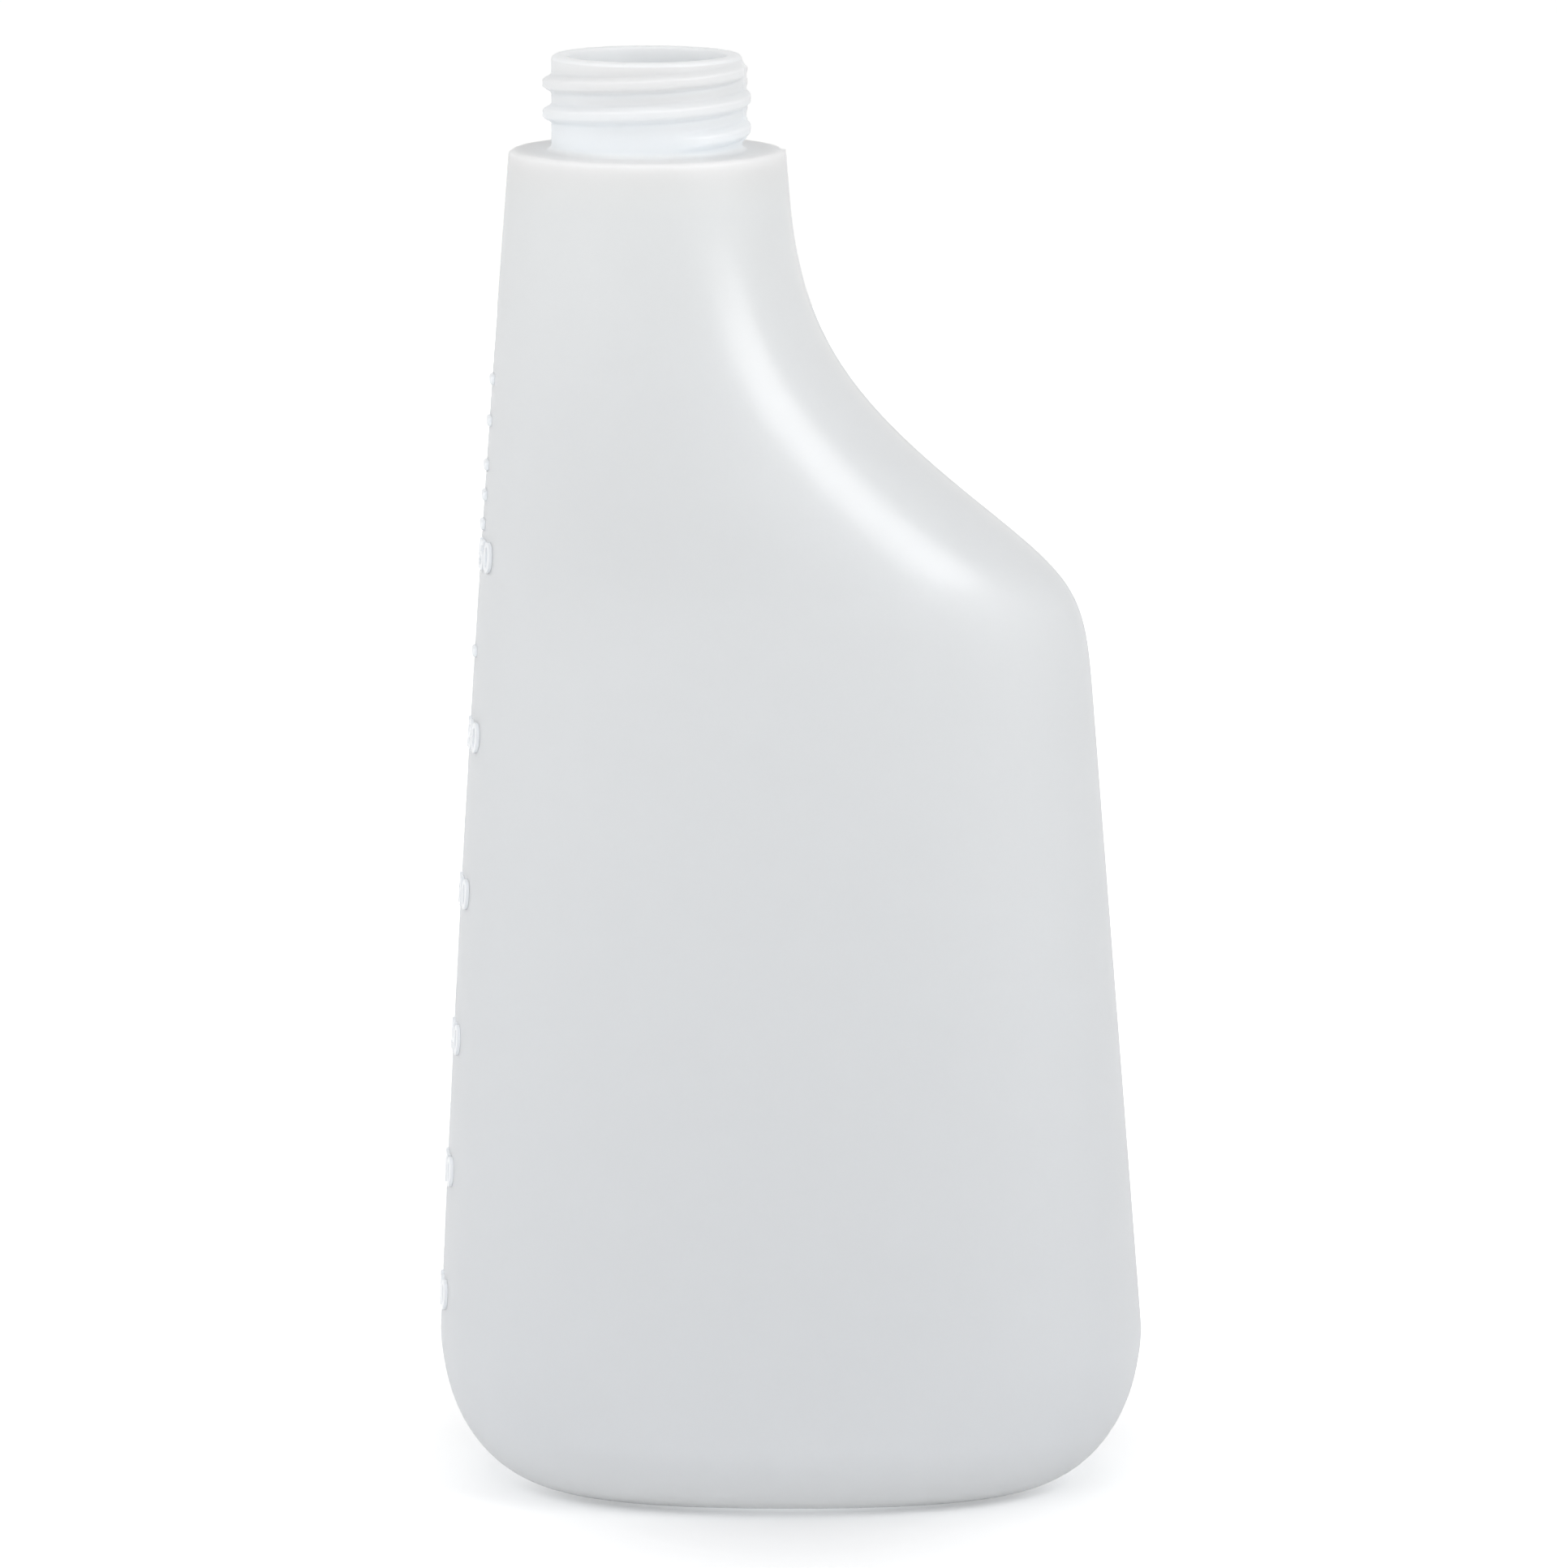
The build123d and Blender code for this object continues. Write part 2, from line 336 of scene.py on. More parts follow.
class Skin:
    """The body's surface moved inwards by a thickness: its outline and its oval sections."""

    def __init__(self, sizes, inset):
        self.sizes = sizes
        self.inset = inset
        self.half_width = sizes.width / 2
        self.half_depth = sizes.depth / 2
        self.shoulder = sizes.shoulder_diameter / 2
        self.flank_top = sizes.height - sizes.hump_drop
        grip = self.grip_line()
        self.grip_heights = [place.y for place in reversed(grip)]
        self.grip_reaches = [place.x for place in reversed(grip)]

    def flank(self, height):
        """X of the straight flank under the hump."""
        rise = self.sizes.side_corner_rise
        part = max((height - rise) / (self.flank_top - rise), 0)
        return self.half_width - self.sizes.flank_lean * part

    def grip_line(self):
        """The grip side from the shelf to the hump's foot, with X across and height as Y."""
        sizes = self.sizes
        top = Vector((self.shoulder - sizes.shoulder_offset, sizes.height))
        foot = Vector((self.flank(self.flank_top), self.flank_top))
        flank_way = (Vector((self.half_width, sizes.side_corner_rise)) - foot).normalized()
        start = top + flank_way * (sizes.grip_top_drop / -flank_way.y)
        turn_x = start.x + sizes.grip_turn_share * (foot.x - start.x)
        turn = Vector((turn_x, sizes.height - sizes.grip_turn_drop))
        turn_way = Vector((math.sin(sizes.grip_lean), -math.cos(sizes.grip_lean)))
        hollow = (turn - start).length
        hump = (foot - turn).length
        line = [top.lerp(start, step / STRAIGHT_STEPS) for step in range(STRAIGHT_STEPS)]
        into_hollow = start + flank_way * sizes.hollow_start * hollow
        out_of_hollow = turn - turn_way * sizes.hollow_end * hollow
        line += interpolate_bezier(start, into_hollow, out_of_hollow, turn, CURVE_STEPS)[:-1]
        into_hump = turn + turn_way * sizes.hump_start * hump
        out_of_hump = foot - flank_way * sizes.hump_end * hump
        line += interpolate_bezier(turn, into_hump, out_of_hump, foot, CURVE_STEPS)
        moved = []
        for order, place in enumerate(line):
            way = (line[min(order + 1, len(line) - 1)] - line[max(order - 1, 0)]).normalized()
            moved.append(place + Vector((way.y, -way.x)) * self.inset)
        return moved

    def drawn_in(self, height, reach, rise):
        """Inset of a wall at a height, a quarter ellipse where it rounds under into the base."""
        part = (height - self.inset) / (rise - self.inset)
        if part >= 1:
            return self.inset
        drop = 1 - max(part, 0)
        return self.inset + (reach - self.inset) * (1 - math.sqrt(max(1 - drop**2, 0)))

    def bowed(self, height, low_height, low_size, top_size, bulge):
        """Size that runs from low_size to top_size at the shelf, with a slight outward bow."""
        part = max(0, (height - low_height) / (self.sizes.height - low_height))
        return low_size + (top_size - low_size) * part + 4 * bulge * part * (1 - part)

    def left(self, height):
        """X of the straight narrow side."""
        sizes = self.sizes
        top_size = sizes.shoulder_offset + self.shoulder
        rise = sizes.side_corner_rise
        reach = self.bowed(height, rise, self.half_width, top_size, sizes.side_bulge)
        return self.drawn_in(height, sizes.side_corner_reach, rise) - reach

    def right(self, height):
        """X of the grip side."""
        if height <= self.grip_heights[0]:
            return self.flank(height) - self.drawn_in(
                height, self.sizes.side_corner_reach, self.sizes.side_corner_rise
            )
        upper = min(bisect.bisect(self.grip_heights, height), len(self.grip_heights) - 1)
        low_height, high_height = self.grip_heights[upper - 1], self.grip_heights[upper]
        part = min((height - low_height) / (high_height - low_height), 1)
        low_reach, high_reach = self.grip_reaches[upper - 1], self.grip_reaches[upper]
        return low_reach + (high_reach - low_reach) * part

    def thickness(self, height):
        """Half the depth of the section."""
        sizes = self.sizes
        rise = sizes.face_corner_rise
        size = self.bowed(height, rise, self.half_depth, self.shoulder, sizes.face_bulge)
        return size - self.drawn_in(height, sizes.face_corner_reach, rise)

    def section(self, height, trim=0):
        """(left, right, half depth, fullness) of the oval at a height."""
        fullness = math.sin((1 - height / self.sizes.height) * math.pi / 2)
        left = self.left(height) + trim
        right = self.right(height) - trim
        return left, right, self.thickness(height) - trim, fullness

    def push_up(self, outer):
        """The same for the hollow under the base, at its mouth or its floor."""
        sizes = self.sizes
        slope = 0 if outer else sizes.push_up_slope_width
        long = self.half_width - sizes.side_corner_reach
        short = self.half_depth - sizes.face_corner_reach
        long, short = [
            size - sizes.stand_ring_width + self.inset - slope for size in (long, short)
        ]
        return -long, long, short, 1

    def heights(self):
        """Heights of the wall's rows, from the base to the top of the grip."""
        sizes = self.sizes
        rise = sizes.side_corner_rise - self.inset
        turns = evenly(0, math.pi / 2, CORNER_ROWS)
        rows = [self.inset + rise * (1 - math.cos(turn)) for turn in turns]
        rows += evenly(sizes.side_corner_rise, self.grip_heights[0], FLANK_ROWS)
        rows += self.grip_heights[CURVE_ROW_STEP::CURVE_ROW_STEP]
        return rows


class Column:
    """One upright line of the skin: its quarter of the section and its place in that quarter."""

    def __init__(self, out, face, part):
        self.out = out
        self.face = face
        self.part = part
        back = 1 - part
        self.weights = back**3, 3 * back * back * part, 3 * back * part * part, part**3
        end, end_handle, face_handle, at_face = self.weights
        across = end + end_handle + CIRCLE_SHARE * face_handle
        along = CIRCLE_SHARE * end_handle + face_handle + at_face
        self.angle = math.atan2(face * along, out * across)

    def on_oval(self, sizes, left, right, depth, fullness):
        """(X, Y) on an oval section."""
        middle = (left + right) / 2
        half = (right - left) / 2
        face = (CIRCLE_SHARE + (sizes.face_fullness - CIRCLE_SHARE) * fullness) * half
        side = (CIRCLE_SHARE + (sizes.side_fullness - CIRCLE_SHARE) * fullness) * depth
        end = right if self.out > 0 else left
        at_end, end_handle, face_handle, at_face = self.weights
        bend = middle + self.out * face
        across = (at_end + end_handle) * end + face_handle * bend + at_face * middle
        return across, self.face * (end_handle * side + (face_handle + at_face) * depth)


def skin_columns(even_columns):
    """Columns right round the skin from the grip side, closer together at the parting line."""
    rising = [*CLOSE_PARTS, *evenly(CLOSE_PARTS[-1], 1, even_columns)[:-1]]
    falling = [1] + rising[:0:-1]
    columns = []
    for out, face, parts in ((1, 1, rising), (-1, 1, falling), (-1, -1, rising), (1, -1, falling)):
        columns += [Column(out, face, part) for part in parts]
    return columns


class SkinGrower:
    """Grows one skin row by row: each row is extruded from the last and laid in its own place."""

    def __init__(self, columns):
        self.columns = columns
        self.bm = bmesh.new()
        self.order = self.bm.verts.layers.int.new("column")
        # Share of painted light at each vertex
        self.milk = self.bm.verts.layers.float.new(PAINTED_LIGHT_LAYER)
        self.edges = []
        self.first_edges = []

    def row(self, places):
        """Adds a row through these (X, Y, Z, painted light) places, one for each column."""
        if self.edges:
            grown = bmesh.ops.extrude_edge_only(self.bm, edges=self.edges)["geom"]
            verts = [item for item in grown if isinstance(item, bmesh.types.BMVert)]
            edges = [item for item in grown if isinstance(item, bmesh.types.BMEdge)]
            fresh = set(verts)
            self.edges = [edge for edge in edges if fresh.issuperset(edge.verts)]
        else:
            verts = bmesh.ops.create_circle(self.bm, segments=len(self.columns), radius=1)["verts"]
            for order, vert in enumerate(verts):
                vert[self.order] = order
            self.edges = list(self.bm.edges)
            self.first_edges = list(self.bm.edges)
        for vert in verts:
            *vert.co, vert[self.milk] = places[vert[self.order]]

    def close(self, edges, place):
        """Draws the open edges together to one point."""
        grown = bmesh.ops.extrude_edge_only(self.bm, edges=edges)["geom"]
        verts = [item for item in grown if isinstance(item, bmesh.types.BMVert)]
        bmesh.ops.pointmerge(self.bm, verts=verts, merge_co=place)

    def finish(self, name):
        """The skin as an object with its faces outwards."""
        bmesh.ops.recalc_face_normals(self.bm, faces=self.bm.faces)
        self.bm.verts.layers.int.remove(self.order)
        return made_object(name, self.bm)


def made_object(name, bm, sharp_angle=SMOOTH_ANGLE):
    """A bmesh as a smooth shaded object in the scene."""
    mesh = bpy.data.meshes.new(name)
    bm.to_mesh(mesh)
    bm.free()
    mesh.shade_smooth()
    mesh.set_sharp_from_angle(angle=sharp_angle)
    piece = bpy.data.objects.new(name, mesh)
    bpy.context.scene.collection.objects.link(piece)
    return piece


def thread_rise(neck, turn_angle, rise):
    """Height of the thread over its root at an angle and a rise over the shelf."""
    first = (turn_angle - neck.thread_start_angle) % math.tau / math.tau
    most = 0
    for lap in range(math.ceil(neck.thread_turns)):
        turn = first + lap
        to_end = min(turn, neck.thread_turns - turn)
        if to_end <= 0:
            continue
        off = abs(rise - neck.thread_start_rise - neck.thread_pitch * turn)
        height = 1 - eased(neck.thread_crest_width / 2, neck.thread_root_width / 2, off)
        most = max(most, height * eased(0, neck.thread_fade, to_end))
    return most * neck.thread_height


def flash_rise(neck, column, offset, rise):
    """Height of the fin of plastic that the mould left on the parting line of the neck."""
    if column.out < 0 or column.part > SEAM_PART:
        return 0
    ends = eased(neck.root_round, 2 * neck.root_round, rise)
    rim = neck.height - neck.rim_outer_round
    ends *= 1 - eased(neck.height - 3 * neck.rim_outer_round, rim, rise)
    wave = 1 + FIN_WAVE * math.sin(math.tau * rise / (FIN_WAVE_PITCHES * neck.thread_pitch))
    return neck.flash_rise * wave * ends * ridge(offset, neck.flash_reach)


def fill(tree, node, inputs):
    """Links each input of a node to a socket or sets it to a value."""
    for name, value in inputs.items():
        if isinstance(value, bpy.types.NodeSocket):
            tree.links.new(value, node.inputs[name])
        else:
            node.inputs[name].default_value = value


def add(tree, kind, inputs, **settings):
    """A new node with these settings and inputs."""
    node = tree.nodes.new(kind)
    for name, value in settings.items():
        setattr(node, name, value)
    fill(tree, node, inputs)
    return node


def object_place(tree):
    """The place on the object."""
    return add(tree, "ShaderNodeTexCoord", {}).outputs["Object"]


def worked_out(tree, operation, *values):
    """The result of a Math node."""
    node = add(tree, "ShaderNodeMath", dict(enumerate(values)), operation=operation)
    return node.outputs["Value"]


def mapped(tree, value, start, end, first=0, last=1, easing="LINEAR"):
    """A value that runs from first to last while another runs from start to end."""
    inputs = {"Value": value, "From Min": start, "From Max": end, "To Min": first, "To Max": last}
    return add(tree, "ShaderNodeMapRange", inputs, interpolation_type=easing).outputs["Result"]


def mixed(tree, factor, first, last, kind="FLOAT"):
    """A value or a colour between two others."""
    inputs = {"Factor": factor, "A": first, "B": last}
    return add(tree, "ShaderNodeMix", inputs, data_type=kind).outputs["Result"]


def ramped(tree, value, stops, easing):
    """The colour at a value, from stops of (value, colour)."""
    node = add(tree, "ShaderNodeValToRGB", {"Fac": value})
    ramp = node.color_ramp
    ramp.interpolation = easing
    # A new ramp has two stops already
    for order, (place, tint) in enumerate(stops):
        stop = ramp.elements[order] if order < 2 else ramp.elements.new(place)
        stop.position = place
        stop.color = (*tint, 1)
    return node.outputs["Color"]


def noise(tree, scale):
    """Soft noise over the object."""
    inputs = {"Vector": object_place(tree), "Scale": scale, "Detail": NOISE_DETAIL}
    return add(tree, "ShaderNodeTexNoise", inputs).outputs["Fac"]


def moulded_grain():
    """The node group of the fine unevenness that the mould leaves on the plastic, built once."""
    known = bpy.data.node_groups.get("moulded_grain")
    if known:
        return known
    group = bpy.data.node_groups.new("moulded_grain", "ShaderNodeTree")
    for name, default in (("Scale", GRAIN_SCALE), ("Strength", 1.0), ("Distance", GRAIN_DISTANCE)):
        socket = group.interface.new_socket(name, in_out="INPUT", socket_type="NodeSocketFloat")
        socket.default_value = default
    group.interface.new_socket("Normal", in_out="OUTPUT", socket_type="NodeSocketVector")
    given = add(group, "NodeGroupInput", {}).outputs
    lumps = {
        "Height": noise(group, given["Scale"]),
        "Strength": given["Strength"],
        "Distance": given["Distance"],
    }
    bump = add(group, "ShaderNodeBump", lumps)
    add(group, "NodeGroupOutput", {"Normal": bump.outputs["Normal"]})
    return group


def grained(tree, strength):
    """The normal with the mould's grain, at a material's own strength."""
    grain = add(tree, "ShaderNodeGroup", {"Strength": strength}, node_tree=moulded_grain())
    return grain.outputs["Normal"]


def node_material(name):
    """A new material and its node tree."""
    material = bpy.data.materials.new(name)
    material.use_nodes = True
    return material, material.node_tree


def wall_tint(tree, finish, share_up, shelf_share):
    """The plastic's colour at a share of the height, with painted shade towards the foot and
    painted light mixed in from the layer.
    """
    # Painted shade: darker towards the foot, lighter towards the shelf
    stops = ((0.0, finish.shaded_foot_tint), (shelf_share, finish.top_tint), (1.0, finish.neck_tint))
    tint = ramped(tree, share_up, stops, "LINEAR")
    # Painted light: a lighter tint mixed in where the layer says
    painted_lift = add(tree, "ShaderNodeAttribute", {}, attribute_name=PAINTED_LIGHT_LAYER)
    return mixed(tree, painted_lift.outputs["Fac"], tint, (*finish.painted_light_tint, 1), "RGBA")


def wall_roughness(tree, finish, share_up, across):
    """The plastic's satin at a share of the height, with the grip's gloss on its own side."""
    stops = [(place, [level] * 3) for place, level in GLOSS_SHARES]
    satin = ramped(tree, share_up, stops, "EASE")
    grip_side = mapped(tree, across, finish.satin_end, finish.gloss_start, easing="SMOOTHSTEP")
    return mixed(tree, grip_side, GLOSS_SHARES[0][1], satin)


def milky_plastic(finish, shelf_height):
    """Satin plastic that light goes a little way into, with painted light and painted shade in its
    colour.
    """
    material, tree = node_material("milky_plastic")
    parts = add(tree, "ShaderNodeSeparateXYZ", {"Vector": object_place(tree)}).outputs
    rise = mapped(tree, parts["Z"], 0, HIGHEST[2])
    share_up = worked_out(tree, "MULTIPLY_ADD", noise(tree, CLOUD_SCALE), finish.cloud_drift, rise)
    look = {
        "Base Color": wall_tint(tree, finish, share_up, shelf_height / HIGHEST[2]),
        "Roughness": wall_roughness(tree, finish, share_up, parts["X"]),
        "IOR": finish.ior,
        "Specular IOR Level": finish.gleam,
        "Subsurface Weight": 1.0,
        "Subsurface Radius": (1.0, 1.0, 1.0),
        "Subsurface Scale": finish.glow_depth,
        "Normal": grained(tree, finish.grain),
    }
    fill(tree, tree.nodes["Principled BSDF"], look)
    return material


def raised_plastic(finish):
    """The same plastic on the raised marks, which are too small for light to spread in."""
    material, tree = node_material("raised_plastic")
    look = {
        "Base Color": (*finish.mark_tint, 1),
        "Roughness": finish.mark_roughness,
        "IOR": finish.ior,
        "Specular IOR Level": finish.gleam,
        "Normal": grained(tree, finish.grain),
    }
    fill(tree, tree.nodes["Principled BSDF"], look)
    return material


class BOTTLE_OT_shell(bpy.types.Operator):
    """Make the bottle's shell: base, body, shelf, neck with thread, bore and inner wall"""

    bl_idname = "bottle.shell"
    bl_label = "Bottle Shell"
    bl_options = {"REGISTER", "UNDO"}

    def execute(self, context):
        body = context.scene.bottle_body
        neck = context.scene.bottle_neck
        columns = skin_columns(body.even_columns)
        grower = SkinGrower(columns)
        outer = Skin(body, 0)
        inner = Skin(body, body.wall)
        self.base(grower, body, outer)
        self.outer_wall(grower, body, outer)
        self.neck(grower, body, neck)
        self.inner_wall(grower, body, neck, inner)
        grower.close(grower.first_edges, Vector((0, 0, body.push_up_depth - body.pinch_rise)))
        grower.close(grower.edges, Vector((0, 0, body.push_up_depth + body.wall)))
        piece = grower.finish("bottle_shell")
        piece.data.materials.append(milky_plastic(context.scene.bottle_finish, body.height))
        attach(piece, BODY)
        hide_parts(NODE)
        return {"FINISHED"}

    def flat_row(self, grower, body, section, height, size=1, weld=0):
        """A row on an oval at one height, with the weld's share of its rise."""
        places = []
        for column in grower.columns:
            x, y = column.on_oval(body, *section)
            drop = weld * body.pinch_rise * ridge(y * size, body.pinch_reach)
            # Painted light in full under the base and on the inner floor
            places.append((x * size, y * size, height - drop, 1))
        grower.row(places)

    def base(self, grower, body, outer):
        """From near the middle of the hollow under the base to the standing ring."""
        floor = outer.push_up(False)
        mouth = outer.push_up(True)
        for size in PUSH_UP_FLOOR_SIZES:
            self.flat_row(grower, body, floor, body.push_up_depth, size, 1)
        for part in evenly(0, 1, PUSH_UP_ROWS):
            height = body.push_up_depth * (1 - eased(0, 1, part))
            self.flat_row(grower, body, between(floor, mouth, part), height, 1, 1 - part)
        rim = outer.section(0)
        for part in evenly(0, 1, STAND_RING_ROWS):
            self.flat_row(grower, body, between(mouth, rim, part), 0)

    def wall_row(self, grower, body, skin, height, trim=0, seam=0):
        """A row round the wall, with the parting line's share of its rise."""
        section = skin.section(height, trim)
        # Painted light lifting the shaded foot
        foot = max(1 - height / body.foot_painted_light, 0) ** 2
        # Painted light under the shelf
        painted_lift = max(foot, eased(body.height - body.shelf_painted_light, body.height, height))
        grip = eased(skin.flank_top, body.height - body.grip_turn_drop, height)
        places = []
        for column in grower.columns:
            x, y = column.on_oval(body, *section)
            milk = painted_lift
            if column.part < SEAM_PART:
                gripped = grip if column.out > 0 else 0
                rise = body.seam_rise + (body.grip_seam_rise - body.seam_rise) * gripped
                reach = body.seam_reach + (body.grip_seam_reach - body.seam_reach) * gripped
                crest = ridge(y, reach)
                x += column.out * (seam * rise + max(column.out, 0) * trim) * crest
                # Painted light along the parting line, wider on the grip
                band = max(crest, gripped * ridge(y, body.grip_painted_light_reach))
                milk = max(milk, body.seam_painted_light * seam * band)
            places.append((x, y, height, milk))
        grower.row(places)

    def outer_wall(self, grower, body, outer):
        """From the base up to the edge of the shelf."""
        rounding = body.height - body.shoulder_round
        for height in outer.heights():
            if height < rounding - body.shoulder_round:
                seam = eased(0, body.side_corner_rise, height)
                self.wall_row(grower, body, outer, height, 0, seam)
        for turn in [0] + evenly(0, math.pi / 2, ROUNDING_ROWS):
            height = rounding + body.shoulder_round * math.sin(turn)
            trim = body.shoulder_round * (1 - math.cos(turn))
            self.wall_row(grower, body, outer, height, trim, 1)

    def round_row(self, grower, body, neck, radius, rise, milk=1, raised=False):
        """A row round the neck's axis, raised by the thread and the fin where it is outside."""
        places = []
        for column in grower.columns:
            reach = radius
            if raised:
                offset = radius * math.sin(column.angle)
                raised_by = max(
                    thread_rise(neck, column.angle, rise), flash_rise(neck, column, offset, rise)
                )
                reach += raised_by
                ridge_above = thread_rise(neck, column.angle, rise + neck.under_reach)
                # Painted light: on the ridges, in the shade under them, at the backlit sides and in
                # the root's corner
                milk = max(
                    neck.thread_painted_light * raised_by / neck.thread_height,
                    neck.under_ridge_painted_light * (ridge_above - raised_by) / neck.thread_height,
                    neck.side_painted_light * math.cos(column.angle) ** 2,
                    1 - eased(0, neck.root_painted_light, rise),
                )
            x = reach * math.cos(column.angle) - body.shoulder_offset
            places.append((x, reach * math.sin(column.angle), body.height + rise, milk))
        grower.row(places)

    def neck(self, grower, body, neck):
        """The shelf, the neck with its thread, the rim and the bore."""
        root = neck.thread_diameter / 2 - neck.thread_height
        shelf_edge = body.shoulder_diameter / 2 - body.shoulder_round
        # The shelf's rows carry full painted light
        for radius in evenly(shelf_edge, root + neck.root_round, SHELF_ROWS):
            self.round_row(grower, body, neck, radius, 0)
        for turn in evenly(0, math.pi / 2, ROUNDING_ROWS):
            radius = root + neck.root_round * (1 - math.sin(turn))
            rise = neck.root_round * (1 - math.cos(turn))
            self.round_row(grower, body, neck, radius, rise, raised=True)
        rounding = neck.height - neck.rim_outer_round
        count = round((rounding - neck.root_round) / neck.row_step)
        for rise in evenly(neck.root_round, rounding, count):
            self.round_row(grower, body, neck, root, rise, raised=True)
        # Painted light on the rim and down the shaded bore
        for turn in evenly(0, math.pi / 2, ROUNDING_ROWS):
            radius = root - neck.rim_outer_round * (1 - math.cos(turn))
            rise = rounding + neck.rim_outer_round * math.sin(turn)
            self.round_row(grower, body, neck, radius, rise, neck.bore_painted_light)
        bore = root - neck.wall
        self.round_row(grower, body, neck, bore + neck.rim_inner_round, neck.height, neck.bore_painted_light)
        for turn in evenly(0, math.pi / 2, RIM_INNER_ROWS):
            radius = bore + neck.rim_inner_round * (1 - math.sin(turn))
            rise = neck.height - neck.rim_inner_round * (1 - math.cos(turn))
            self.round_row(grower, body, neck, radius, rise, neck.bore_painted_light)
        for rise in evenly(neck.height - neck.rim_inner_round, -body.wall, BORE_ROWS):
            self.round_row(grower, body, neck, bore, rise, neck.bore_painted_light)

    def inner_wall(self, grower, body, neck, inner):
        """From under the shelf down the inner wall to the mound in the middle of the floor."""
        bore = neck.thread_diameter / 2 - neck.thread_height - neck.wall
        top = body.height - body.wall
        section = inner.section(top)
        for part in evenly(0, 1, SHELF_ROWS):
            places = []
            for column in grower.columns:
                x, y = column.on_oval(body, *section)
                near_x = bore * math.cos(column.angle) - body.shoulder_offset
                near_y = bore * math.sin(column.angle)
                # Painted light in full on the inside under the shelf
                places.append((near_x + (x - near_x) * part, near_y + (y - near_y) * part, top, 1))
            grower.row(places)
        for height in reversed(inner.heights()[::INNER_ROW_STEP]):
            if height < top - body.wall / 2:
                self.wall_row(grower, body, inner, height)
        foot = inner.section(body.wall)
        mouth = inner.push_up(True)
        floor = inner.push_up(False)
        for part in [0] + evenly(0, 1, INNER_RING_ROWS):
            self.flat_row(grower, body, between(foot, mouth, part), body.wall)
        for part in evenly(0, 1, MOUND_ROWS):
            height = body.wall + body.push_up_depth * eased(0, 1, part)
            self.flat_row(grower, body, between(mouth, floor, part), height)
        for size in MOUND_TOP_SIZES:
            self.flat_row(grower, body, floor, body.wall + body.push_up_depth, size)


class SideWrap:
    """Lays flat marks on the front half of the straight narrow side, from the parting line on."""

    def __init__(self, body, height, count=200):
        self.body = body
        self.skin = Skin(body, 0)
        self.parts = [step / count for step in range(count + 1)]
        section = self.skin.section(height)
        places = [Vector(Column(-1, -1, part).on_oval(body, *section)) for part in self.parts]
        self.reaches = [0]
        for before, after in zip(places, places[1:]):
            self.reaches.append(self.reaches[-1] + (after - before).length)

    def place(self, along, height, out):
        """The point at an arc length and a height, moved outwards."""
        upper = min(max(bisect.bisect(self.reaches, along), 1), len(self.reaches) - 1)
        near, far = self.reaches[upper - 1], self.reaches[upper]
        step = self.parts[1]
        part = max(self.parts[upper - 1] + step * (along - near) / (far - near), 0)
        section = self.skin.section(height)
        here = Vector(Column(-1, -1, part).on_oval(self.body, *section))
        way = Vector(Column(-1, -1, part + step).on_oval(self.body, *section)) - here
        normal = Vector((way.y, -way.x)).normalized()
        here += normal * out
        return Vector((here.x, here.y, height))


